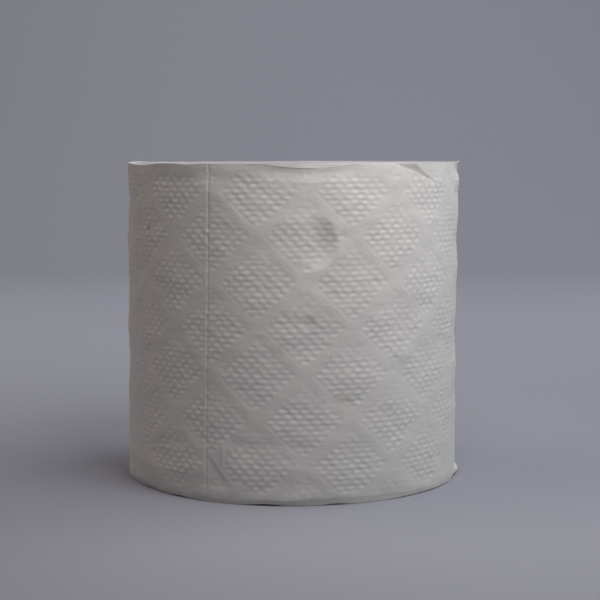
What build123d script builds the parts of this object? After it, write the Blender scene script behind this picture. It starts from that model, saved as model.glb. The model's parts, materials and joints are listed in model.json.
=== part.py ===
from build123d import *
from math import asin, ceil, cos, degrees, floor, hypot, radians, sin
import os

# A toilet paper roll that stands on its end: a wound web of embossed tissue on a card core.
# Millimetres and degrees. The roll's axis is Z and its lower end is at z = 0.
# Angles round the roll are zero at the front, on -Y, and grow to the right, towards +X.

# The roll and its core
roll_diameter = 105.0
roll_height = 100.0
core_bore = 40.0
core_wall = 0.6
glue_clearance = 0.1

# The web: its thickness is the step at the tail, and each drawn turn stands for a bundle of turns
web_thickness = 0.35
drawn_turns = 6
turn_gap = 0.25
gap_cover = 1.4

# Sheets: the tail is torn along a perforation two sheets round from the front one
sheet_length = 115.0
front_perforation_angle = -29.5
visible_perforations = 2
slot_length = 3.0
slot_spacing = 4.0
slot_width = 0.5
slot_depth = 0.6

# Embossed diamond fields, staggered from column to column, with smooth channels between them
field_column_pitch = 14.28
field_row_pitch = 26.9
field_first_angle = 4.3
field_first_height = 25.7
channel_width = 4.0
field_corner_depth = 0.12

# The thumb dent high on the front: steep on one side, and level with the surface on the other
dent_angle = 5.5
dent_height = 77.0
dent_radius = 7.2
dent_depth = 1.4
dent_steep_side = 10.0

# Room by which cutting shapes run past the surface that they cut
overrun = 1.0

# Sizes worked out from those above
roll_radius = roll_diameter / 2
bore_radius = core_bore / 2
core_radius = bore_radius + core_wall
web_inner_radius = core_radius + glue_clearance
turn_pitch = (roll_radius - web_inner_radius - 2 * gap_cover) / drawn_turns
sheet_angle = degrees(sheet_length / roll_radius)
tail_angle = front_perforation_angle + visible_perforations * sheet_angle


def compass(angle):
    """Turn an angle counted from the front into one counted from +X."""
    return angle - 90


def half_turns(radii, start_x):
    """Give centre, radius and start angle of half circles that follow each other without a kink."""
    turns = []
    x = start_x
    for index, radius in enumerate(radii):
        side = 1 if index % 2 == 0 else -1
        centre = x - side * radius
        turns.append((centre, radius, 0 if side > 0 else 180))
        x = centre - side * radius
    return turns


def web_outline():
    """Outline of the outermost turn, one web thickness of growth in a turn, with the tail's step."""
    radii = [roll_radius - web_thickness / 2, roll_radius]
    turns = half_turns(radii, roll_radius - web_thickness * 3 / 4)
    edges = [CenterArc((x, 0), radius, start, 180) for x, radius, start in turns]
    edges.append(Line(edges[-1] @ 1, edges[0] @ 0))
    return make_face(edges)


def gap_between_turns():
    """Spiral gap between the turns, closed a little before the core and before the surface."""
    start_x = web_inner_radius + gap_cover
    radii = [start_x + turn_pitch / 4 + half * turn_pitch / 2 for half in range(2 * drawn_turns)]
    turns = half_turns(radii, start_x)
    sides = []
    for offset in (-turn_gap / 2, turn_gap / 2):
        sides.append([CenterArc((x, 0), radius + offset, start, 180) for x, radius, start in turns])
    inner, outer = sides
    ends = [Line(inner[0] @ 0, outer[0] @ 0), Line(inner[-1] @ 1, outer[-1] @ 1)]
    return make_face(inner + outer + ends)


def wound_web():
    """The whole web: one strip with a spiral gap, open where the core goes."""
    section = web_outline() - gap_between_turns() - Circle(web_inner_radius)
    return Rot(0, 0, compass(tail_angle)) * extrude(section, roll_height)


def surface_plane(angle, height):
    """Plane that touches the roll at an angle and a height, facing outwards, with its Y up."""
    turn = radians(compass(angle))
    outward = Vector(cos(turn), sin(turn), 0)
    return Plane(outward * roll_radius + Vector(0, 0, height), x_dir=(-sin(turn), cos(turn), 0), z_dir=outward)


def surface_point(angle, height, radius):
    """Point at an angle, a height and a distance from the axis."""
    turn = radians(compass(angle))
    return Vector(radius * cos(turn), radius * sin(turn), height)


def field_sizes():
    """Half width and half height of a diamond field, left when the channels are taken off its cell."""
    half_height = field_row_pitch / 2
    cell_width = 2 * field_column_pitch * half_height / hypot(field_column_pitch, half_height)
    share = 1 - channel_width / cell_width
    return field_column_pitch * share, half_height * share


def field_places():
    """Angle and height of every field on the outermost turn, column by column back from the tail."""
    half_width, reach = field_sizes()
    step = degrees(field_column_pitch / roll_radius)
    margin = degrees(half_width / roll_radius)
    first = ceil((tail_angle - 360 + margin - field_first_angle) / step)
    last = floor((tail_angle - margin - field_first_angle) / step)
    places = []
    for column in range(first, last + 1):
        angle = field_first_angle + column * step
        height = field_first_height + column % 2 * field_row_pitch / 2
        while height - field_row_pitch > -reach:
            height -= field_row_pitch
        while height < roll_height + reach:
            places.append((angle, height))
            height += field_row_pitch
    return places


def embossed_fields():
    """Shallow diamonds pressed into the surface, each folded on its upright diagonal to follow the curve."""
    half_width, half_height = field_sizes()
    floor_radius = roll_radius - web_thickness / 2 - field_corner_depth
    fold = degrees(half_width / roll_radius)
    fields = []
    for angle, height in field_places():
        outward = surface_plane(angle, height).z_dir
        top = surface_point(angle, height + half_height, floor_radius)
        bottom = surface_point(angle, height - half_height, floor_radius)
        for side in (-fold, fold):
            corner = surface_point(angle + side, height, floor_radius)
            floor = make_face(Polyline(top, corner, bottom, close=True))
            fields.append(extrude(floor, 2 * overrun, dir=outward))
    return fields


def perforation_slots():
    """Rows of short cuts, sheet by sheet back from the tail."""
    slots = []
    count = int((roll_height - slot_spacing / 2) / slot_spacing)
    first = (roll_height - (count - 1) * slot_spacing) / 2
    for line in range(1, visible_perforations + 1):
        angle = tail_angle - line * sheet_angle
        for index in range(count):
            plane = surface_plane(angle, first + index * slot_spacing)
            slot = Box(slot_width, slot_length, 2 * slot_depth)
            slots.append(plane.location * slot)
    return slots


def thumb_dent():
    """A round plug that leans over, so that its flat end leaves a dent with one steep side."""
    lean = degrees(asin(dent_depth / (2 * dent_radius)))
    plane = surface_plane(dent_angle, dent_height)
    plug = Pos(0, 0, dent_radius - dent_depth / 2) * Cylinder(dent_radius, 2 * dent_radius)
    return plane.location * Rot(0, 0, dent_steep_side) * Rot(0, lean, 0) * plug


def make_paper_roll():
    """The web with its embossing, perforations and dent."""
    return wound_web() - embossed_fields() - perforation_slots() - thumb_dent()


def make_cardboard_core():
    """The card tube, flush with the web at both ends."""
    wall = Circle(core_radius) - Circle(bore_radius)
    return extrude(wall, roll_height)


def write(name, shape):
    """Write one node and say what it holds."""
    shape.label = name
    export_step(shape, f"parts/{name}.step")
    print(name, len(shape.solids()), "solid", round(shape.volume), "mm3")


os.makedirs("parts", exist_ok=True)
write("cardboard_core", make_cardboard_core())
write("paper_roll", make_paper_roll())
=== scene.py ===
import bmesh
import bpy
import json
from math import cos, degrees, pi, radians, sin, tau
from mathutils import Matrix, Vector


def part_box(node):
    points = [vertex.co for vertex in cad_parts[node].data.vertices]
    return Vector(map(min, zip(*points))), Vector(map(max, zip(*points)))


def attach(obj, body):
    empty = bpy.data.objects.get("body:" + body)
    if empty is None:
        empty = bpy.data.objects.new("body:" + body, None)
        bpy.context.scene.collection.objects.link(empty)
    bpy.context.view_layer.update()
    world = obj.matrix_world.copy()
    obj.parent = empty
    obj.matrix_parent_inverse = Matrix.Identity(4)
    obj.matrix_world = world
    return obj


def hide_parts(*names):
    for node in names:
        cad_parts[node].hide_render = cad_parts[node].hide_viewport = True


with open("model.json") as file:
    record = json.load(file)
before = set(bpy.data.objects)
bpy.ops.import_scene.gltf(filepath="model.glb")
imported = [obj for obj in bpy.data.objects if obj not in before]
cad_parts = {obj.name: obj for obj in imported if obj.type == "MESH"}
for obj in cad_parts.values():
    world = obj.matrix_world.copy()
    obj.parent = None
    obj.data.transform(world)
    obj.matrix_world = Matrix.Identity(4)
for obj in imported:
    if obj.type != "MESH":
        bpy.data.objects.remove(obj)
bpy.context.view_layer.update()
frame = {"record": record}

# The roll stands on its end with its axis on Z. Lengths in the trees and below are millimetres,
# and MM turns them into the scene's metres. Angles round the roll are degrees, zero at the front
# on -Y and growing to the right. An arc is the same angle as a length on the roll's surface.

MM = 0.001

# Sizes taken from the frame
paper_low, paper_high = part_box("paper_roll")
core_low, core_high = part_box("cardboard_core")
CORE_BORE = 2 * frame["record"]["mounts"][0]["dims"]["r_mm"]
ROLL_HEIGHT = (paper_high.z - paper_low.z) / MM
CORE_RADIUS = (core_high.x - core_low.x) / 2 / MM

# The roll's radius at the tail's edge, where it is largest, and the arc of one degree on it
ROLL_RADIUS = 52.5
ARC_OF_DEGREE = pi / 180 * ROLL_RADIUS

# How far the card core stays behind the web's ends
CORE_RECESS = 0.85

# The wound web: its turns, the room for glue round the core, and the thickness of one turn
TURNS = 90
GLUE_ROOM = 0.1
WEB_INSIDE = CORE_RADIUS + GLUE_ROOM
WEB_THICKNESS = (ROLL_RADIUS - WEB_INSIDE) / TURNS
SHEET_THICKNESS = WEB_THICKNESS * 0.9

# Sheets: the tail is torn two sheets round from the perforation in front, and overlaps the third
# sheet by some degrees. A perforation's slots are evenly spaced
SHEET_LENGTH = 115.0
PERFORATION_ANGLE = -28.9
SHEET_ANGLE = degrees(SHEET_LENGTH / ROLL_RADIUS)
TAIL_ANGLE = PERFORATION_ANGLE + 2 * SHEET_ANGLE
TAIL_OVERLAP = 8.0
SLOT_SPACING = 4.0

# The embossing: diamond fields on a staggered lattice, each with seven by seven round dots.
# First the step from a field to its neighbour, along the arc and up, then the middle of one field,
# and then the step from a dot to its neighbour
FIELD_PITCH = 14.28
FIELD_ROW = 13.45
FIELD_ARC = 3.95
FIELD_HEIGHT = 25.7
DOT_ARC = 1.675
DOT_ROW = 1.6

# How deep the valleys between the dots are pressed
DOT_DEPTH = 0.128

# Half a field and the softness of its rim, counted in dots
HALF_FIELD = 3.55
FIELD_RIM = 0.2

# How the columns of fields lean, their rows fall and the sheets' ends lean, for each millimetre
FIELD_LEAN = 0.012
FIELD_FALL = 0.0047
EDGE_LEAN = 0.0175

# The grid of a sheet: seven or eight cells to a dot round the roll, five to a row of dots
CELLS_PER_COLUMN = 32
CELL_ANGLE = FIELD_PITCH / ARC_OF_DEGREE / CELLS_PER_COLUMN
SHEET_ROWS = 312
ROW_PITCH = ROLL_HEIGHT / SHEET_ROWS

# Rows and columns are whole numbers, so a comparison half a step away from one is safe
HALF_STEP = 0.5

# Points of a piece that lie closer than this, in metres, are welded
WELD_DISTANCE = 1e-6

# Edges of a sheet that turn by more than this are crisp
CRISP_ANGLE = 40.0

# The lip in the middle of the top edge, and the pleat that runs down from the edge to the right
LIP_ARC = 4.0
PLEAT_ARC = 32.8
PLEAT_HEIGHT = ROLL_HEIGHT - 0.2
PLEAT_FALL = 0.31

# Where the roll's outline lies in the photograph's view, on both sides
OUTLINE_ARC = 79.0

# Specks of dirt on the side: arc, height and radius
DIRT_SPECKS = ((-51.5, 80.4, 0.65), (-73.8, 40.7, 0.4))

# Faint brown shade painted into the dents and the hollow that handling left, for their shade and warm
# bounced light: arc, height, radius and share of the brown
DENT_SHADING = (
    (9.6, 80.2, 4.6, 0.15),
    (10.8, 77.0, 3.6, 0.15),
    (15.0, 30.4, 4.4, 0.12),
    (5.6, 54.5, 2.2, 0.12),
)
DARKEST_DENT_SHADING = 0.19

# The back of a sheet: thin near its edges, and thicker between, where it stands for the turns below
EDGE_ZONE = 4.0
BUNDLE = 3.0


class Value:
    """A number inside a node tree. Arithmetic on it adds math nodes to the tree."""

    def __init__(self, tree, socket):
        self.tree = tree
        self.socket = socket

    def math(self, operation, *others):
        node = self.tree.nodes.new("ShaderNodeMath")
        node.operation = operation
        for place, item in zip(node.inputs, (self,) + others):
            feed(self.tree, place, item)
        return Value(self.tree, node.outputs[0])

    def __add__(self, other):
        return self.math("ADD", other)

    def __sub__(self, other):
        return self.math("SUBTRACT", other)

    def __mul__(self, other):
        return self.math("MULTIPLY", other)

    def __truediv__(self, other):
        return self.math("DIVIDE", other)

    def __neg__(self):
        return self.math("MULTIPLY", -1.0)

    def __rsub__(self, other):
        return -self + other

    __radd__ = __add__
    __rmul__ = __mul__

    def clipped(self, low, high):
        return self.math("MAXIMUM", low).math("MINIMUM", high)

    def rise(self, low, high):
        """0 below low, 1 above high and smooth between."""
        node = self.tree.nodes.new("ShaderNodeMapRange")
        node.interpolation_type = "SMOOTHSTEP"
        for place, item in zip(node.inputs, (self, low, high, 0.0, 1.0)):
            feed(self.tree, place, item)
        return Value(self.tree, node.outputs[0])

    def fall(self, low, high):
        """1 below low, 0 above high and smooth between."""
        return 1 - self.rise(low, high)

    def plateau(self, start, full, fall, end):
        """0 up to the start, 1 from full to the fall, 0 again from the end, and smooth between."""
        return self.rise(start, full) * self.fall(fall, end)

    def near(self, middle, full, reach):
        """1 as far as full from the middle, and smoothly 0 at the reach, on both sides."""
        return (self - middle).size().fall(full, reach)

    def hump(self, middle, reach):
        """1 at the middle, and smoothly 0 at the reach on both sides."""
        return self.near(middle, 0.0, reach)

    def swell(self, middle, reach, depth):
        """The depth at the middle, and smoothly nothing at the reach on both sides."""
        return self.hump(middle, reach) * depth

    def wave(self, lag=0.0):
        """A cosine of one turn to each unit, with its crests a lag before the whole numbers."""
        return ((self + lag) * tau).math("COSINE")

    def size(self):
        return self.math("ABSOLUTE")

    def over(self, limit):
        return self.math("GREATER_THAN", limit)


def feed(tree, place, item):
    """Link a value into a socket, or set the socket to a plain number."""
    if isinstance(item, Value):
        tree.links.new(item.socket, place)
    else:
        place.default_value = item


def length(x, y):
    return (x * x + y * y).math("SQRT")


def new_group(name, kind, inputs, outputs):
    """A node group with named float inputs and outputs; gives the group and its inputs as values."""
    group = bpy.data.node_groups.new(name, kind)
    for label, start in inputs.items():
        socket = group.interface.new_socket(label, in_out="INPUT", socket_type="NodeSocketFloat")
        socket.default_value = start
    for label in outputs:
        group.interface.new_socket(label, in_out="OUTPUT", socket_type="NodeSocketFloat")
    source = group.nodes.new("NodeGroupInput")
    return group, {label: Value(group, source.outputs[label]) for label in inputs}


def close_group(group, results):
    """Wire the results to the group's outputs, in their order."""
    sink = group.nodes.new("NodeGroupOutput")
    for place, item in zip(sink.inputs, results):
        feed(group, place, item)


def place_group(tree, group, *items):
    """Put a group into a tree, feed its inputs in order and give its outputs as values."""
    kind = "GeometryNodeGroup" if tree.bl_idname == "GeometryNodeTree" else "ShaderNodeGroup"
    node = tree.nodes.new(kind)
    node.node_tree = group
    for place, item in zip(node.inputs, items):
        feed(tree, place, item)
    return [Value(tree, socket) for socket in node.outputs]


def combined(tree, x, y, z):
    node = tree.nodes.new("ShaderNodeCombineXYZ")
    for place, item in zip(node.inputs, (x, y, z)):
        feed(tree, place, item)
    return Value(tree, node.outputs[0])


def constant(tree, number):
    node = tree.nodes.new("ShaderNodeValue")
    node.outputs[0].default_value = number
    return Value(tree, node.outputs[0])


def noise(tree, x, y, z, detail=2.0):
    """Smooth noise of about -1 to 1, with a size of one unit.

    So a length divided by 5 gives patches of 5 millimetres, and a plain number picks a slice.
    """
    node = tree.nodes.new("ShaderNodeTexNoise")
    feed(tree, node.inputs["Vector"], combined(tree, x, y, z))
    node.inputs["Scale"].default_value = 1.0
    node.inputs["Detail"].default_value = detail
    return Value(tree, node.outputs[0]) * 2 - 1


def emboss_group():
    """Depth of the embossing at an arc and a height."""
    group, given = new_group("embossing", "GeometryNodeTree", {"Arc": 0.0, "Height": 0.0}, ["Depth"])
    arc, height = given["Arc"], given["Height"]
    rising, falling = place_in_cell(group, arc, height)
    right = (rising + falling) * FIELD_PITCH
    up = (rising - falling) * FIELD_ROW
    along = (right / DOT_ARC + up / DOT_ROW) / 2
    across = (right / DOT_ARC - up / DOT_ROW) / 2
    from_middle = along.size().math("MAXIMUM", across.size())
    inside = from_middle.fall(HALF_FIELD - FIELD_RIM, HALF_FIELD + FIELD_RIM)
    faded = upper_fade(right, up)
    pressed = pressing(group, arc, height)
    margins = clear_of_edges(group, arc, height)
    dots = dot_waves(arc, along, across) * inside * faded * pressed * margins * DOT_DEPTH
    line = side_groove(rising, falling) * pressed.clipped(low=0.3, high=1.2) * margins
    close_group(group, [dots + line])
    return group


def place_in_cell(tree, arc, height):
    """Place in a diamond's cell, along its rising and falling sides, each from -0.5 to 0.5."""
    most_aside, most_up = 0.6, 0.4
    aside = noise(tree, arc / 5, height / 5, 0.0) * most_aside
    upwards = noise(tree, arc / 7, height / 5, 4.0) * most_up
    column = (arc + aside - FIELD_ARC) / FIELD_PITCH
    row = (height + upwards + arc * FIELD_FALL - FIELD_HEIGHT) / FIELD_ROW
    rising = (column + row) / 2
    falling = (column - row) / 2
    return rising - rising.math("ROUND"), falling - falling.math("ROUND")


def dot_waves(arc, along, across):
    """Round dots where waves along both slanting rows cross, with a ripple just below each level row."""
    wave_share, middle = 0.25, 0.5
    ripple_lag, least_ripple, more_at_right = 0.24, 0.2, 0.06
    right_of_middle = arc.swell(middle=22.0, reach=16.0, depth=0.055)
    right_side = arc.rise(low=28.0, high=58.0) * more_at_right
    ripple = (along - across).wave(ripple_lag) * (right_of_middle + right_side + least_ripple)
    return (along.wave() + across.wave()) * wave_share + ripple + middle


def upper_fade(right, up):
    """The dots are weaker in each diamond's upper corner, a little more so on its right."""
    weaker, fade_height, aside = 0.6, 9.0, 0.3
    return 1 - (up + right * aside).rise(0.0, fade_height) * weaker


def pressing(tree, arc, height):
    """How strongly the dots were pressed: in patches, from dot to dot, and less at both sides."""
    usual, by_patch, by_dot = 1.05, 0.7, 0.9
    patches = noise(tree, arc / 6, height / 6, 3.0) * by_patch + usual
    dots = noise(tree, arc / 1.5, height / 1.5, 6.0, detail=0.0) * by_dot
    right = arc.swell(middle=66.0, reach=44.0, depth=0.3)
    left = arc.swell(middle=-72.0, reach=30.0, depth=0.3)
    return (patches + dots) * (1 - right) * (1 - left)


def clear_of_edges(tree, arc, height):
    """0 on the smooth margin at the bottom edge, and faint on the one at the top edge."""
    most_wander, weaker = 1.2, 0.85
    low_start, low_end = 2.2, 4.6
    top_start, top_end = ROLL_HEIGHT - 4.4, ROLL_HEIGHT - 1.8
    wander = noise(tree, arc / 12, 0.0, 0.0) * most_wander
    margins = height.rise(wander + low_start, wander + low_end)
    return margins * (1 - height.rise(wander + top_start, wander + top_end) * weaker)


def side_groove(rising, falling):
    """A fine groove along the lower left side of each diamond, with a low ridge outside it."""
    cell_side = 19.6
    outwards, along = rising * cell_side, falling * cell_side
    cut = outwards.swell(middle=-8.9, reach=0.9, depth=0.055)
    ridge = outwards.swell(middle=-9.8, reach=0.8, depth=0.025)
    return (cut - ridge) * along.size().fall(low=6.5, high=8.5)


def wound_radius(angle_from_tail):
    """Outer radius of the outermost turn, which grows by one ply in a turn."""
    return angle_from_tail * (WEB_THICKNESS / 360) + (ROLL_RADIUS - WEB_THICKNESS)


def new_piece_tree(name, numbers):
    """A geometry tree with named number inputs and a material input."""
    tree, given = new_group(name, "GeometryNodeTree", numbers, [])
    tree.is_modifier = True
    tree.interface.new_socket("Material", in_out="INPUT", socket_type="NodeSocketMaterial")
    tree.interface.new_socket("Geometry", in_out="OUTPUT", socket_type="NodeSocketGeometry")
    return tree, given


def grid(tree, columns, rows):
    """A flat grid; gives it with the column and the row that a point lies on."""
    node = tree.nodes.new("GeometryNodeMeshGrid")
    feed(tree, node.inputs["Vertices X"], columns + 1)
    feed(tree, node.inputs["Vertices Y"], rows + 1)
    place = tree.nodes.new("GeometryNodeInputPosition")
    parts = tree.nodes.new("ShaderNodeSeparateXYZ")
    tree.links.new(place.outputs[0], parts.inputs[0])
    column = (Value(tree, parts.outputs[0]) + 0.5) * columns
    row = (Value(tree, parts.outputs[1]) + 0.5) * rows
    return node.outputs["Mesh"], column.math("ROUND"), row.math("ROUND")


def bend_round(tree, mesh, angle, radius, height):
    """Move every point to its angle, radius and height on the roll."""
    turn = (angle - 90).math("RADIANS")
    x = radius * turn.math("COSINE") * MM
    y = radius * turn.math("SINE") * MM
    node = tree.nodes.new("GeometryNodeSetPosition")
    tree.links.new(mesh, node.inputs["Geometry"])
    feed(tree, node.inputs["Position"], combined(tree, x, y, height * MM))
    return node.outputs["Geometry"]


def finish_tree(tree, geometry):
    """Weld the grid's meeting edges, make everything real and give it the material."""
    weld = tree.nodes.new("GeometryNodeMergeByDistance")
    weld.inputs["Distance"].default_value = WELD_DISTANCE
    smooth = tree.nodes.new("GeometryNodeSetShadeSmooth")
    real = tree.nodes.new("GeometryNodeRealizeInstances")
    paint = tree.nodes.new("GeometryNodeSetMaterial")
    source = tree.nodes.new("NodeGroupInput")
    sink = tree.nodes.new("NodeGroupOutput")
    tree.links.new(geometry, weld.inputs["Geometry"])
    tree.links.new(weld.outputs["Geometry"], smooth.inputs["Geometry"])
    tree.links.new(smooth.outputs["Geometry"], real.inputs["Geometry"])
    tree.links.new(real.outputs["Geometry"], paint.inputs["Geometry"])
    tree.links.new(source.outputs["Material"], paint.inputs["Material"])
    tree.links.new(paint.outputs["Geometry"], sink.inputs["Geometry"])


def direction(start, end):
    """Run and climb of a line for each millimetre along it, and its length."""
    run, climb = end[0] - start[0], end[1] - start[1]
    reach = (run * run + climb * climb) ** 0.5
    return run / reach, climb / reach, reach


def groove(arc, height, start, end, width, depth):
    """A pressed line with soft walls; a ridge where the depth is negative."""
    run, climb, reach = direction(start, end)
    right, up = arc - start[0], height - start[1]
    nearest = (right * run + up * climb).clipped(0.0, reach)
    away = length(right - nearest * run, up - nearest * climb)
    return away.fall(0.0, width) * depth


def shelf(arc, height, start, end, width, reach, depth):
    """A fold: pressed in sharply above a line that runs right, and level again at the reach."""
    run, climb, line_length = direction(start, end)
    right, up = arc - start[0], height - start[1]
    share = (right * run + up * climb) / line_length
    side = up * run - right * climb
    across = side.plateau(start=0.0, full=width, fall=width, end=reach)
    ends = share.plateau(start=-0.15, full=0.2, fall=0.8, end=1.15)
    return across * ends * depth


def step_up(above):
    """0 on the rows below a line, and 1 from the row just under it, which crisp_edge lifts to it."""
    return above.over(-ROW_PITCH)


def crisp_edge(above):
    """How far up the two rows just below a line move, so that a step there has a sharp edge."""
    below, two_rows, settling = -above, 2.05 * ROW_PITCH, 5
    return below.clipped(0.0, two_rows) * below.fall(two_rows, two_rows * settling)


def press_group():
    """How handling moved the roll's surface: pressed in, and its edges shifted up or down."""
    group, given = new_group(
        "handling", "GeometryNodeTree", {"Arc": 0.0, "Height": 0.0}, ["Press", "Shift"]
    )
    arc, height = given["Arc"], given["Height"]
    marks = (
        soft_waves,
        thumb_dent,
        small_dents,
        lower_creases,
        bottom_tuck,
        top_lip,
        corner_pleat,
        flared_corners,
        slack_sides,
    )
    pressed = sum((mark(group, arc, height) for mark in marks), 0.0)
    lip_edge = crisp_edge(above_lip(arc, height)) * arc.near(LIP_ARC, full=15.0, reach=19.0)
    pleat_edge = crisp_edge(above_pleat(arc, height))
    pleat_edge = pleat_edge * arc.rise(low=PLEAT_ARC, high=34.8) * arc.fall(low=46.0, high=50.0)
    close_group(group, [pressed, edge_shift(group, arc, height) + lip_edge + pleat_edge])
    return group


def waves_round(tree, arc, height, width, tall, detail, depth):
    """Waves of a width and a height in the surface, which meet themselves behind the roll."""
    turn = arc / ROLL_RADIUS
    x, y = turn.math("SINE") * ROLL_RADIUS, turn.math("COSINE") * -ROLL_RADIUS
    return noise(tree, x / width, y / width, height / tall, detail) * depth


def soft_waves(tree, arc, height):
    """The web's slack: long waves, low wrinkles a few millimetres apart, and fine crinkles."""
    long_waves = waves_round(tree, arc, height, width=22, tall=26, detail=1.0, depth=0.30)
    folds = waves_round(tree, arc, height, width=11, tall=8, detail=1.0, depth=0.27)
    wrinkles = waves_round(tree, arc, height, width=7, tall=4.5, detail=2.0, depth=0.1)
    crinkles = waves_round(tree, arc, height, width=1.7, tall=1.1, detail=2.0, depth=0.035)
    return long_waves + folds + wrinkles + crinkles


def thumb_dent(tree, arc, height):
    """The crescent dent: steep on its right, and level with the surface on its left."""
    middle_arc, middle_height, lean = 4.6, 77.4, radians(-6)
    floor_radius, wall_width, wall_curve, depth = 3.4, 5.2, 1.5, 0.82
    rim_radius, rim_width, rim_height = 9.0, 2.0, 0.04
    right, up = arc - middle_arc, height - middle_height
    toward = right * cos(lean) + up * sin(lean)
    away = length(right, up)
    slope = ((away - floor_radius) / wall_width).clipped(0.0, 1.0).math("POWER", wall_curve)
    bowl = (1 - slope) * toward.rise(low=-3.0, high=5.5) * depth
    rim = away.hump(rim_radius, rim_width) * toward.rise(low=2.0, high=7.0) * rim_height
    return bowl - rim


def small_dents(tree, arc, height):
    """A fingertip's soft mark in the middle, a shallow hollow at its lower right, and level folds."""
    tip_arc, tip_height, tip_floor, tip_radius, tip_depth = 4.5, 53.8, 0.3, 2.9, 0.24
    tip = length(arc - tip_arc, height - tip_height).fall(tip_floor, tip_radius) * tip_depth
    hollow = groove(arc, height, start=(12.0, 30.8), end=(17.0, 30.3), width=2.4, depth=0.13)
    top_fold = shelf(arc, height, start=(-50, 93.6), end=(-16, 94.2), width=1.0, reach=6.0, depth=0.08)
    middle_fold = shelf(arc, height, start=(-45, 44.4), end=(-30, 44.5), width=0.8, reach=4.0, depth=0.06)
    low_fold = shelf(arc, height, start=(-57, 12.6), end=(-34, 15.8), width=0.8, reach=4.0, depth=0.08)
    return tip + hollow + top_fold + middle_fold + low_fold


def lower_creases(tree, arc, height):
    """Folds across the lower left, where the web was squeezed against the turns below."""
    valley = groove(arc, height, start=(-18, 18.2), end=(3, 17.2), width=2.8, depth=0.13)
    bulge = groove(arc, height, start=(-18, 11.0), end=(6, 10.0), width=5.0, depth=-0.14)
    diagonal = shelf(arc, height, start=(-19.6, 6.6), end=(-26.0, 14.4), width=0.9, reach=6.0, depth=0.24)
    upright = groove(arc, height, start=(-21.3, 16.8), end=(-21.3, 12.0), width=0.8, depth=-0.20)
    return valley + bulge + diagonal + upright


def chamfer_height(tree, arc):
    """Height up to which the web's lower edge turns in: most in front on the right."""
    usual, more_in_front, most_uneven = 1.3, 0.8, 0.6
    front = arc.plateau(start=-4.0, full=6.0, fall=24.0, end=42.0)
    return front * more_in_front + noise(tree, arc / 3, 2.0, 0.0, detail=3.0) * most_uneven + usual


def bottom_tuck(tree, arc, height):
    """The lowest few millimetres turn in, below a low bead, and the web narrows towards them."""
    narrow_height, chamfer_reach, least_taper, least_slope = 8.0, 5.0, 0.03, 0.14
    top = chamfer_height(tree, arc)
    bead = (height - top).swell(middle=1.6, reach=2.6, depth=0.05)
    taper = arc.swell(middle=-54.0, reach=32.0, depth=0.11) + least_taper
    slope = arc.swell(middle=-2.0, reach=20.0, depth=0.12) + least_slope
    narrowing = (narrow_height - height).clipped(0.0, narrow_height) * taper
    return (top - height).clipped(0.0, chamfer_reach) * slope + narrowing - bead


def above_lip(arc, height):
    """Height above the line, bowed like a smile, on which the top edge's lip ends in front."""
    lowest = 1.28
    return height - ROLL_HEIGHT + arc.near(middle=4.8, full=1.5, reach=18.5) * lowest


def top_lip(tree, arc, height):
    """In front the top edge is bent over into a lip, with a soft valley under it."""
    lip_step, lip_slope, lip_height = 0.07, 0.03, 1.4
    valley_start, valley_drop, valley_slope = 0.6, 1.2, 0.17
    above = above_lip(arc, height)
    below = -above
    lip = step_up(above) * (lip_step - above.clipped(0.0, lip_height) * lip_slope)
    valley = (below - valley_start).clipped(0.0, valley_drop) * below.fall(low=1.8, high=4.6)
    return (valley * valley_slope - lip) * arc.near(LIP_ARC, full=8.0, reach=20.0)


def above_pleat(arc, height):
    """Height above the line that a pleat runs down, from the top edge to the right."""
    return height - PLEAT_HEIGHT + (arc - PLEAT_ARC) * PLEAT_FALL


def corner_pleat(tree, arc, height):
    """A pleat at the top right: the web is pressed in above its line, and comes out to the rim."""
    pleat_end, end_rise, widest, steepness = 49.5, 0.28, 3.0, 0.3
    above = above_pleat(arc, height)
    opening, closing = (arc - PLEAT_ARC) * PLEAT_FALL, (pleat_end - arc) * end_rise
    reach = opening.math("MINIMUM", closing).clipped(0.0, widest)
    return step_up(above) * (reach - above).clipped(0.0, widest) * steepness


def loose_corner(arc, height):
    """How far, up to a millimetre, everything behind the pleat gives way to it."""
    start, full = ROLL_HEIGHT - 10, ROLL_HEIGHT - 5
    return arc.hump(middle=40.0, reach=14.0) * height.rise(start, full)


def flared_corners(tree, arc, height):
    """Where the web's edges stick out at the sides of the view."""
    corner_height, corner_flare = 1.9, 0.95
    flap_height, flap_flare, foot_flare = 2.2, 1.4, 0.4
    above = height - (ROLL_HEIGHT - corner_height)
    corner = (above / corner_height).clipped(0.0, 1.0) * corner_flare
    flap_place = arc.plateau(start=70.0, full=82.0, fall=84.0, end=96.0)
    flap = flap_place * (1 - (height / flap_height).clipped(0.0, 1.0)) * flap_flare
    left_foot = arc.hump(middle=-76.0, reach=12.0) * height.fall(low=2.0, high=8.0) * foot_flare
    return -arc.hump(OUTLINE_ARC, reach=13.0) * corner - flap - left_foot


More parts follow.
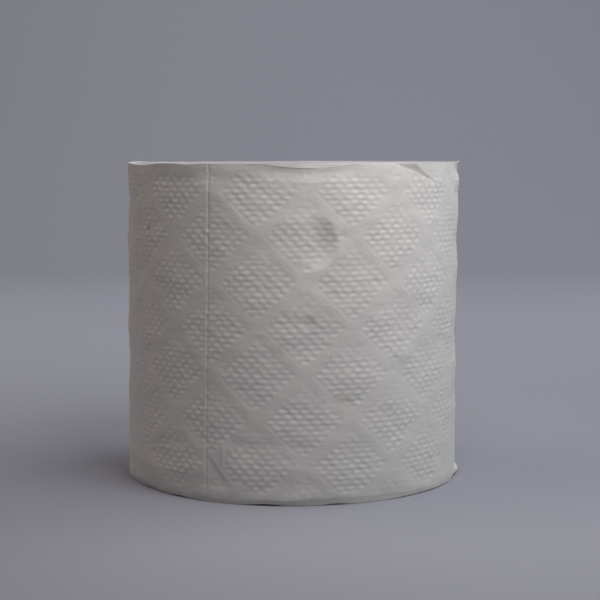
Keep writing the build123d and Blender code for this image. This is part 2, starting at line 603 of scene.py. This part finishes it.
def slack_sides(tree, arc, height):
    """The bulges, hollows and ripples that the roll's outline shows on its right and on its left."""
    side_reach, low_bulge, ripple_depth, streak_depth = 20.0, 0.55, 0.14, 0.055
    right = (
        height.swell(middle=94.3, reach=4.0, depth=0.6)
        + height.swell(middle=86.0, reach=13.0, depth=0.45)
        + height.swell(middle=67.5, reach=9.0, depth=0.5)
        - height.swell(middle=46.0, reach=10.0, depth=0.4)
        - height.swell(middle=28.0, reach=9.0, depth=0.2)
    )
    left = (
        height.swell(middle=76.0, reach=5.0, depth=0.3)
        + height.swell(middle=49.0, reach=7.0, depth=0.5)
        - height.swell(middle=89.0, reach=6.0, depth=0.5)
        + height.fall(low=28.0, high=38.0) * low_bulge
    )
    ripple = noise(tree, arc / 9, 0.0, height / 1.3, detail=1.0)
    ripple = ripple * arc.size().hump(OUTLINE_ARC, reach=18.0) * ripple_depth
    streaks = noise(tree, arc / 7, 6.0, height / 1.1, detail=1.0)
    streaks = streaks * arc.hump(middle=-68.0, reach=32.0) * streak_depth
    right = arc.hump(OUTLINE_ARC, side_reach) * right
    left = arc.hump(-OUTLINE_ARC, side_reach) * left
    return ripple + streaks - right - left


def edge_shift(tree, arc, height):
    """The web's edges aren't level: the top one dips and the bottom one lifts in places."""
    least_dip, dip_behind, high_right, dip_uneven = 0.02, 0.3, 0.28, 0.1
    least_lift, right_lift, flap_lift, lift_uneven = 0.09, 0.22, 1.3, 0.12
    behind = (1 - (arc / ROLL_RADIUS).math("COSINE")) / 2
    dips = (
        arc.swell(middle=-57.0, reach=13.0, depth=0.55)
        + arc.swell(middle=-33.0, reach=6.0, depth=0.22)
        + behind * dip_behind
        + noise(tree, arc / 8, 3.0, 0.0) * (1 - behind) * dip_uneven
        + least_dip
        - arc.plateau(start=58.0, full=82.0, fall=115.0, end=150.0) * high_right
        - arc.swell(middle=80.0, reach=9.0, depth=0.25)
        - arc.swell(middle=-94.0, reach=22.0, depth=0.3)
    )
    lifts = (
        arc.swell(middle=-54.0, reach=8.0, depth=0.15)
        + arc.swell(middle=-38.0, reach=6.0, depth=0.35)
        + arc.swell(middle=-8.0, reach=8.0, depth=0.45)
        + arc.swell(middle=13.0, reach=6.0, depth=0.35)
        + arc.plateau(start=28.0, full=40.0, fall=56.0, end=66.0) * right_lift
        + arc.plateau(start=66.0, full=82.0, fall=84.0, end=100.0) * flap_lift
        + noise(tree, arc / 7, 9.0, 0.0) * (1 - behind) * lift_uneven
        + least_lift
    )
    low_zone, top_zone = 5.0, 6.0
    return lifts * height.fall(0.0, low_zone) - dips * height.rise(ROLL_HEIGHT - top_zone, ROLL_HEIGHT)


def sheet_tree(emboss, press):
    """One sheet of the outermost turn: a fine grid outside, wrapped over its edges to a plain back."""
    numbers = {
        "From angle": 0.0,
        "To angle": 90.0,
        "Columns": 100.0,
        "Cut start": 1.0,
        "Cut end": 1.0,
        "Torn end": 0.0,
    }
    tree, given = new_piece_tree("web sheet", numbers)
    back_rows = 6
    total_rows = SHEET_ROWS + back_rows + 1
    mesh, column, row = grid(tree, given["Columns"], constant(tree, total_rows))
    angle = given["From angle"] + (given["To angle"] - given["From angle"]) * column / given["Columns"]
    web_arc = angle * ARC_OF_DEGREE
    up = (row / SHEET_ROWS).clipped(0.0, 1.0)
    behind = row - SHEET_ROWS
    closing = behind.over(back_rows + HALF_STEP)
    is_back = behind.over(HALF_STEP) * (1 - closing)
    step = (back_rows + 1) / 2 - behind
    depth_steps = (back_rows - 1) / 2 - step.size()
    front_height = up * (1 - closing) * ROLL_HEIGHT
    back_height = ROLL_HEIGHT / 2 + step.math("SIGN") * (ROLL_HEIGHT / 2 - depth_steps * EDGE_ZONE)
    height = front_height * (1 - is_back) + back_height * is_back
    arc = web_arc + (height - ROLL_HEIGHT / 2) * EDGE_LEAN
    pressed, shift = place_group(tree, press, arc, height)
    field_arc = arc - (height - ROLL_HEIGHT / 2) * FIELD_LEAN
    depth = place_group(tree, emboss, field_arc, height)[0]
    at_end = given["Columns"] - column
    tail, ragged = torn_tail(tree, at_end, height)
    pressed = pressed + perforation(tree, column, at_end, height, given) - tail * given["Torn end"]
    surface = wound_radius(angle + (360 - TAIL_ANGLE)) - pressed
    thin_end, thick_start = TAIL_OVERLAP + 1, TAIL_OVERLAP + 5
    thin = given["Torn end"] * (at_end * CELL_ANGLE).fall(thin_end, thick_start)
    hollow = depth_steps.over(1 + HALF_STEP) * (BUNDLE - WEB_THICKNESS) * (1 - thin)
    to_back = hollow + SHEET_THICKNESS + loose_corner(arc, height)
    radius = surface - depth * (1 - is_back) - to_back * is_back
    arc = arc + ragged * given["Torn end"]
    geometry = bend_round(tree, mesh, arc / ARC_OF_DEGREE, radius, height + shift)
    finish_tree(tree, geometry)
    return tree


def perforation(tree, at_start, at_end, height, given):
    """The slots cut across the web at a sheet's ends, with a short bond left between them."""
    slot_depth, bond_depth, bank_height = 0.18, 0.06, 0.045
    uneven_spacing, cut_wear, bank_wear = 0.1, 0.6, 0.06
    beat = height / SLOT_SPACING + noise(tree, height / 9, 1.0, 0.0) * uneven_spacing
    in_slot = (beat.math("FRACT") - 0.5).size().fall(low=0.30, high=0.42)
    first = (1 - at_start.over(HALF_STEP)) * given["Cut start"]
    last = (1 - at_end.over(HALF_STEP)) * given["Cut end"]
    worn = noise(tree, height / 5, 12.0, 0.0)
    cut = (first + last) * (in_slot * slot_depth + bond_depth) * (worn * cut_wear + 1)
    # The bank runs along the two columns before a sheet's end
    on_bank = at_end.over(HALF_STEP) * (1 - at_end.over(2 + HALF_STEP)) * given["Cut end"]
    return cut - on_bank * (bank_height - worn * bank_wear)


def torn_tail(tree, at_end, height):
    """How far the tail's end lifts off the roll, and how far its torn edge runs to and fro."""
    loose_angle, usual_lift, lift_uneven = 9.0, 0.45, 0.6
    tuft_length, ragged_length, ragged_columns = 0.35, 0.3, 3.0
    near = (at_end * CELL_ANGLE).fall(0.0, loose_angle)
    lift = (noise(tree, height / 28, 5.0, 0.0) * lift_uneven + usual_lift).clipped(low=0.05, high=1.0)
    tuft = ((height / SLOT_SPACING).math("FRACT") - 0.5).size().rise(low=0.36, high=0.46) * tuft_length
    ragged = tuft + noise(tree, height / 0.9, 7.0, 0.0, detail=3.0) * ragged_length
    return near * near * lift, ragged * at_end.fall(0.0, ragged_columns)


def body_tree(press):
    """All the turns under the outermost one: a spiral grid over both ends, with plain walls."""
    turns = TURNS - 2
    rings = 2 * turns
    wall_rows = 4
    tree, given = new_piece_tree("wound turns", {"Columns": 252.0})
    total_rows = 2 * rings + wall_rows + 2
    mesh, column, row = grid(tree, given["Columns"], constant(tree, total_rows))
    round_part = column / given["Columns"]
    angle = round_part * 360 + TAIL_ANGLE
    wall = row - rings
    below = wall - (wall_rows + 1)
    closing = row.over(total_rows - HALF_STEP)
    is_low = below.over(-HALF_STEP) * (1 - closing)
    is_wall = wall.over(HALF_STEP) * (1 - below.over(-HALF_STEP))
    ring = row.clipped(0.0, rings) - below.clipped(0.0, rings) * (1 - closing) - closing * rings
    turn = ring / 2 + round_part
    radius = turn * WEB_THICKNESS + WEB_INSIDE
    relief = turn_relief(tree, angle, turn, (ring / 2).math("FRACT") * 2)
    step = (wall_rows + 1) / 2 - wall
    depth_steps = (wall_rows + 1) / 2 - step.size()
    top_recess, low_recess = 0.45, 0.25
    wall_height = ROLL_HEIGHT / 2 + step.math("SIGN") * (ROLL_HEIGHT / 2 - depth_steps * EDGE_ZONE)
    top_height = ROLL_HEIGHT - top_recess + relief
    low_height = low_recess - relief.math("MINIMUM", low_recess)
    height = top_height * (1 - is_wall) * (1 - is_low) + low_height * is_low + wall_height * is_wall
    arc = (angle - 360) * ARC_OF_DEGREE
    pressed, shift = place_group(tree, press, arc, height)
    # Handling reaches some way in from the surface, and less and less deeper down
    most_outwards, pressed_zone, shift_zone, shift_share = -0.15, 9, 5, 0.8
    giving_start, giving_full = ROLL_RADIUS - 2.5, ROLL_RADIUS - 1.0
    pressed = pressed.math("MAXIMUM", most_outwards) * radius.rise(ROLL_RADIUS - pressed_zone, ROLL_RADIUS)
    pressed = pressed + loose_corner(arc, height) * radius.rise(giving_start, giving_full)
    height = height + shift * radius.rise(ROLL_RADIUS - shift_zone, ROLL_RADIUS) * shift_share
    hollow = is_wall * depth_steps.over(1 + HALF_STEP) * (BUNDLE - WEB_THICKNESS)
    geometry = bend_round(tree, mesh, angle, radius - pressed - hollow, height)
    finish_tree(tree, geometry)
    return tree


def turn_relief(tree, angle, turn, ridge):
    """How far each turn's cut edge stands out on the roll's ends, with its ragged places."""
    ridge_height, fine_height, broad_height, middle = 0.18, 0.22, 0.3, 0.1
    # Patches of the noise to a turn outwards, and to a radian round the roll
    fine_out, fine_round, broad_out, broad_round = 0.9, 3, 0.12, 1.5
    turn_angle = angle.math("RADIANS")
    x, y = turn_angle.math("COSINE"), turn_angle.math("SINE")
    fine = noise(tree, turn * fine_out, x * fine_round, y * fine_round, detail=3.0) * fine_height
    broad = noise(tree, turn * broad_out, x * broad_round, y * broad_round) * broad_height
    return (ridge * ridge_height + (fine + broad) + middle).clipped(low=-0.15, high=0.5)


def core_tree():
    """The card tube, with the groove where the edges of its wound strip meet."""
    rows_inside, edge_rows, columns = 150, 3, 180
    uneven_depth, patches_round, bore_room = 0.12, 2, 0.05
    tree, given = new_piece_tree("card core", {"Seam pitch": 84.0, "Seam width": 1.3, "Seam depth": 0.22})
    total_rows = rows_inside + edge_rows + 1
    mesh, column, row = grid(tree, constant(tree, columns), constant(tree, total_rows))
    angle = column * (-360 / columns)
    behind = row - rows_inside
    closing = behind.over(edge_rows + HALF_STEP)
    outside = behind.over(HALF_STEP) * (1 - closing)
    up = (row / rows_inside).clipped(0.0, 1.0) * (1 - closing)
    down = ((behind - 1) / (edge_rows - 1)).clipped(0.0, 1.0) * outside
    height = (up - down) * (ROLL_HEIGHT - 2 * CORE_RECESS) + CORE_RECESS
    winding = height / given["Seam pitch"] + angle / 360
    from_seam = ((winding.math("FRACT") + 1).math("FRACT") - 0.5) * given["Seam pitch"]
    seam = from_seam.hump(0.0, given["Seam width"]) * given["Seam depth"]
    turn = angle.math("RADIANS")
    x, y = turn.math("COSINE") * patches_round, turn.math("SINE") * patches_round
    uneven = noise(tree, x, y, height / 30) * uneven_depth
    inner = CORE_BORE / 2 + seam + uneven - bore_room
    outer = CORE_RADIUS + uneven
    radius = inner * (1 - outside) + outer * outside
    geometry = bend_round(tree, mesh, angle, radius, height)
    finish_tree(tree, geometry)
    return tree


def make_piece(name, tree, material, **numbers):
    """Run a tree on an empty mesh, keep the result as a plain mesh and close what is open in it."""
    carrier = bpy.data.objects.new(name + " carrier", bpy.data.meshes.new(name + " carrier"))
    bpy.context.scene.collection.objects.link(carrier)
    modifier = carrier.modifiers.new("shape", "NODES")
    modifier.node_group = tree
    sockets = {item.name: item.identifier for item in tree.interface.items_tree if item.in_out == "INPUT"}
    for label, number in numbers.items():
        modifier[sockets[label.replace("_", " ").capitalize()]] = number
    modifier[sockets["Material"]] = material
    shapes = bpy.context.evaluated_depsgraph_get()
    shaped = carrier.evaluated_get(shapes)
    mesh = bpy.data.meshes.new_from_object(shaped, preserve_all_data_layers=True, depsgraph=shapes)
    bpy.data.objects.remove(carrier)
    close_mesh(mesh)
    mesh.name = name
    piece = bpy.data.objects.new(name, mesh)
    bpy.context.scene.collection.objects.link(piece)
    return piece


def close_mesh(mesh):
    """Fill the open ends and turn every face outwards."""
    shortest_edge = 1e-7
    shape = bmesh.new()
    shape.from_mesh(mesh)
    bmesh.ops.dissolve_degenerate(shape, dist=shortest_edge, edges=shape.edges)
    open_edges = [edge for edge in shape.edges if edge.is_boundary]
    bmesh.ops.holes_fill(shape, edges=open_edges, sides=0)
    bmesh.ops.triangulate(shape, faces=[face for face in shape.faces if len(face.verts) > 4])
    bmesh.ops.recalc_face_normals(shape, faces=shape.faces)
    for face in shape.faces:
        face.smooth = True
    shape.to_mesh(mesh)
    shape.free()


def fibre_group():
    """Fine tangled fibres: their height for a bump, and a soft mottle for the colour."""
    group, given = new_group(
        "paper fibre", "ShaderNodeTree", {"Fibre size": 0.25, "Mottle size": 6.0}, ["Fibre", "Mottle"]
    )
    x, y, z = object_millimetres(group)
    fine, coarse = given["Fibre size"], given["Mottle size"]
    fibre = noise(group, x / fine, y / fine, z / fine, detail=4.0)
    mottle = noise(group, x / coarse, y / coarse, z / coarse, detail=3.0)
    close_group(group, [fibre, mottle])
    return group


def object_millimetres(tree):
    node = tree.nodes.new("ShaderNodeTexCoord")
    parts = tree.nodes.new("ShaderNodeSeparateXYZ")
    tree.links.new(node.outputs["Object"], parts.inputs[0])
    return [Value(tree, socket) / MM for socket in parts.outputs]


def new_material(name, roughness, gloss=0.25):
    """A material with its tree and its shader."""
    material = bpy.data.materials.new(name)
    material.use_nodes = True
    tree = material.node_tree
    shader = tree.nodes["Principled BSDF"]
    shader.inputs["Roughness"].default_value = roughness
    shader.inputs["Specular IOR Level"].default_value = gloss
    return material, tree, shader


def tint(tree, shader, light, dark, share):
    """Mix two colours by a share and feed the result to the shader."""
    node = tree.nodes.new("ShaderNodeMix")
    node.data_type = "RGBA"
    feed(tree, node.inputs["Factor"], share.clipped(0.0, 1.0))
    node.inputs["A"].default_value = (*light, 1)
    node.inputs["B"].default_value = (*dark, 1)
    tree.links.new(node.outputs["Result"], shader.inputs["Base Color"])


def bump(tree, shader, height, distance):
    """Roughen the shader's normals by a height, whose full step is a distance in millimetres."""
    node = tree.nodes.new("ShaderNodeBump")
    node.inputs["Strength"].default_value = 1.0
    node.inputs["Distance"].default_value = distance * MM
    feed(tree, node.inputs["Height"], height)
    tree.links.new(node.outputs["Normal"], shader.inputs["Normal"])


def tissue_material(fibres):
    """Soft white tissue with fine fibres, faint brown painted shade in the dents and a few dark specks of
    dirt.
    """
    light, dark = (0.675, 0.66, 0.641), (0.635, 0.62, 0.599)
    brown, dirt = (0.42, 0.31, 0.27), (0.035, 0.03, 0.03)
    fibre_size, mottle_size = 0.22, 7.0
    material, tree, shader = new_material("embossed_tissue", roughness=0.92)
    fibre, mottle = place_group(tree, fibres, fibre_size, mottle_size)
    # Painted shade: a faint brown darkening in the dents, for their shade and warm bounced light
    dent_shading = sum((spot(tree, *place) * share for *place, share in DENT_SHADING), 0.0)
    specks = sum((spot(tree, *place) for place in DIRT_SPECKS), 0.0)
    tint(tree, shader, light, dark, mottle * 0.5 + 0.5)
    darken(tree, shader, brown, dent_shading.clipped(0.0, DARKEST_DENT_SHADING))
    darken(tree, shader, dirt, specks)
    bump(tree, shader, fibre, distance=0.05)
    return material


def spot(tree, arc, height, size):
    """A round spot on the roll's side: 1 on its inner half and 0 outside its size."""
    x, y, z = object_millimetres(tree)
    turn = arc / ROLL_RADIUS
    level = length(x - ROLL_RADIUS * sin(turn), y + ROLL_RADIUS * cos(turn))
    return length(level, z - height).fall(size * 0.5, size)


def darken(tree, shader, colour, share):
    """Mix a colour over what feeds the shader's base colour."""
    under = shader.inputs["Base Color"].links[0].from_socket
    node = tree.nodes.new("ShaderNodeMix")
    node.data_type = "RGBA"
    feed(tree, node.inputs["Factor"], share.clipped(0.0, 1.0))
    tree.links.new(under, node.inputs["A"])
    node.inputs["B"].default_value = (*colour, 1)
    tree.links.new(node.outputs["Result"], shader.inputs["Base Color"])


def cut_edge_material(fibres):
    """The cut edges of the turns on the roll's ends: fine lines, two for each turn, in greys darker than the
    tissue as painted shade of the narrow gaps between the turns.
    """
    # Painted shade: both greys are darker than the tissue's white, for the shade between the turns' edges
    light, dark = (0.425, 0.415, 0.435), (0.345, 0.335, 0.35)
    fibre_size, mottle_size = 0.18, 4.0
    line_share, mottle_share, fibre_share = 0.6, 0.25, 0.6
    material, tree, shader = new_material("cut_tissue_edges", roughness=0.95)
    fibre, mottle = place_group(tree, fibres, fibre_size, mottle_size)
    x, y, z = object_millimetres(tree)
    turn = y.math("ARCTAN2", x) / tau
    line = (length(x, y) / (WEB_THICKNESS / 2) + turn).math("FRACT").math("PINGPONG", 0.5)
    tint(tree, shader, light, dark, line * line_share + mottle * mottle_share)
    bump(tree, shader, fibre * fibre_share - line, distance=0.08)
    return material


def board_material(fibres):
    """Grey brown card, with coarse fibres and lighter flecks."""
    light, dark = (0.42, 0.35, 0.27), (0.30, 0.24, 0.18)
    fibre_size, mottle_size = 0.5, 9.0
    middle, mottle_share, fibre_share = 0.4, 0.5, 0.3
    material, tree, shader = new_material("core_board", roughness=0.88)
    fibre, mottle = place_group(tree, fibres, fibre_size, mottle_size)
    tint(tree, shader, light, dark, mottle * mottle_share + fibre * fibre_share + middle)
    bump(tree, shader, fibre, distance=0.06)
    return material


def dress_roll():
    """Make the pieces and let them stand for the solids."""
    fibres = fibre_group()
    tissue = tissue_material(fibres)
    edges = cut_edge_material(fibres)
    board = board_material(fibres)
    press = press_group()
    shape = sheet_tree(emboss_group(), press)
    spans = {
        "web_sheet_tail": (TAIL_ANGLE - SHEET_ANGLE, TAIL_ANGLE, {"Cut_end": 0.0, "Torn_end": 1.0}),
        "web_sheet_right": (PERFORATION_ANGLE, TAIL_ANGLE - SHEET_ANGLE, {}),
        "web_sheet_left": (TAIL_ANGLE - 360 - TAIL_OVERLAP, PERFORATION_ANGLE, {"Cut_start": 0.0}),
    }
    pieces = []
    for name, (start, end, edges_cut) in spans.items():
        start, end = snapped(start), snapped(end)
        columns = float(round((end - start) / CELL_ANGLE))
        piece = make_piece(name, shape, tissue, From_angle=start, To_angle=end, Columns=columns, **edges_cut)
        piece.data.set_sharp_from_angle(angle=radians(CRISP_ANGLE))
        pieces.append(piece)
    pieces.append(make_piece("wound_turns", body_tree(press), edges))
    for piece in pieces:
        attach(piece, "root")
        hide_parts("paper_roll")
    core = make_piece("card_core", core_tree(), board)
    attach(core, "root")
    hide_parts("cardboard_core")


def snapped(angle):
    """The nearest angle at which a column of the embossing's grid runs."""
    first = degrees(FIELD_ARC / ROLL_RADIUS)
    return first + round((angle - first) / CELL_ANGLE) * CELL_ANGLE


def plain_material(name, colour):
    """A matt material of one colour."""
    material, tree, shader = new_material(name, roughness=0.95, gloss=0.1)
    shader.inputs["Base Color"].default_value = (*colour, 1)
    return material


def make_backdrop():
    """A floor that sweeps up behind the roll into a wall."""
    half_width, front, bend_start, bend_radius, wall_height = 2.6, -1.6, 0.8, 0.6, 1.8
    bend_steps = 24
    line = [(front, 0.0), (bend_start, 0.0)]
    for step in range(1, bend_steps + 1):
        turn = pi / 2 * step / bend_steps
        line.append((bend_start + bend_radius * sin(turn), bend_radius * (1 - cos(turn))))
    line.append((bend_start + bend_radius, wall_height))
    points = [(x, y, z) for y, z in line for x in (-half_width, half_width)]
    faces = [(2 * i, 2 * i + 1, 2 * i + 3, 2 * i + 2) for i in range(len(line) - 1)]
    mesh = bpy.data.meshes.new("backdrop")
    mesh.from_pydata(points, [], faces)
    for face in mesh.polygons:
        face.use_smooth = True
    grey = (0.262, 0.266, 0.305)
    mesh.materials.append(plain_material("backdrop", grey))
    backdrop = bpy.data.objects.new("backdrop", mesh)
    bpy.context.scene.collection.objects.link(backdrop)


def make_camera():
    """The photograph's view: from the front, a little above the roll's top, looking slightly down."""
    distance, height, down, aside, lean = 504.1, 104.5, 5.53, 0.28, 0.06
    sensor_width, focal_pixels, picture_pixels = 36.0, 1571.6, 600
    camera = bpy.data.cameras.new("camera")
    camera.sensor_width = sensor_width
    camera.lens = sensor_width * focal_pixels / picture_pixels
    camera.clip_start = 0.05
    view = bpy.data.objects.new("camera", camera)
    view.location = (0, -distance * MM, height * MM)
    view.rotation_euler = (radians(90 - down), radians(lean), radians(-aside))
    bpy.context.scene.collection.objects.link(view)
    bpy.context.scene.camera = view


def make_lamp(name, size, power, colour, place, turned):
    """A square soft lamp at a place, turned by angles round X, Y and Z."""
    lamp = bpy.data.lights.new(name, "AREA")
    lamp.size = size
    lamp.energy = power
    lamp.color = colour
    holder = bpy.data.objects.new(name, lamp)
    holder.location = place
    holder.rotation_euler = turned
    bpy.context.scene.collection.objects.link(holder)


def aim_lamp(name, azimuth, elevation, distance, size, power, colour):
    """A lamp that looks at the middle of the roll from a direction and a distance."""
    turn, rise, aim_height = radians(azimuth), radians(elevation), 0.05
    level = distance * cos(rise)
    place = (level * sin(turn), -level * cos(turn), aim_height + distance * sin(rise))
    make_lamp(name, size, power, colour, place, (pi / 2 - rise, 0, turn))


def light_scene():
    """A near key lamp in front at the upper right, a warm fill on the left and a cool one on the right.

    A fourth lamp lights the wall behind, and the world adds a trace of light to the shadows.
    """
    daylight, warm, cool, white = (1.0, 0.985, 0.972), (1.0, 0.86, 0.80), (0.91, 0.965, 1.02), (1, 1, 1)
    aim_lamp("key", azimuth=29, elevation=53, distance=0.26, size=0.17, power=0.58, colour=daylight)
    aim_lamp("left_fill", azimuth=-90, elevation=45, distance=1.2, size=1.0, power=3.72, colour=warm)
    aim_lamp("right_fill", azimuth=108, elevation=30, distance=1.2, size=1.0, power=6.2, colour=cool)
    wall_lamp, tilt = (0, 0.35, 1.0), radians(62)
    make_lamp("backdrop_light", size=1.2, power=11.5, colour=white, place=wall_lamp, turned=(tilt, 0, 0))
    world_colour, world_strength = (0.92, 0.87, 0.90), 0.01
    world = bpy.data.worlds.new("fill")
    world.use_nodes = True
    background = world.node_tree.nodes["Background"]
    background.inputs["Color"].default_value = (*world_colour, 1)
    background.inputs["Strength"].default_value = world_strength
    bpy.context.scene.world = world


dress_roll()
make_backdrop()
make_camera()
light_scene()
bpy.context.scene.view_settings.view_transform = "Standard"
